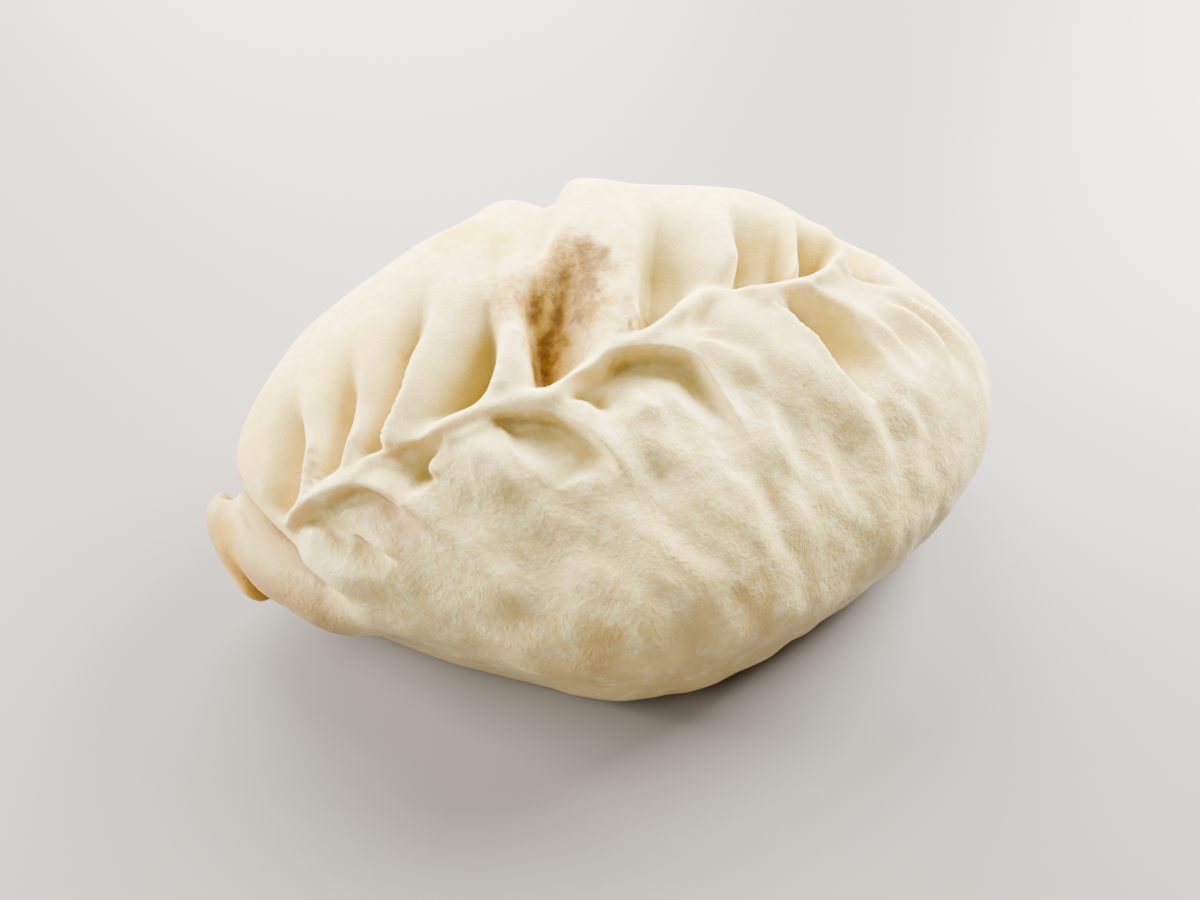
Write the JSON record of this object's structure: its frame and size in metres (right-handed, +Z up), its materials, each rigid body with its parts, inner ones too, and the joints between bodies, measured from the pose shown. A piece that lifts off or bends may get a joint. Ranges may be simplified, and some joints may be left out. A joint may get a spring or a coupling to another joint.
{
  "type": "leaf-pleated steamed bun",
  "caption": "Oval stuffed steamed bun with leaf-like pleats along a wavy seam and a rolled dough tail at one end.",
  "frame": {"origin": "middle of the body's flat foot, on the surface that the bun stands on", "axes": "+X along the pleated seam, from the rolled tail to the plain round end, +Y towards the side of the long pleats, +Z up"},
  "size_m": [0.1283, 0.0846, 0.0473],
  "materials": {
    "dough": "satin"
  },
  "bodies": {
    "root": {"bun": "dough"}
  },
  "joints": []
}
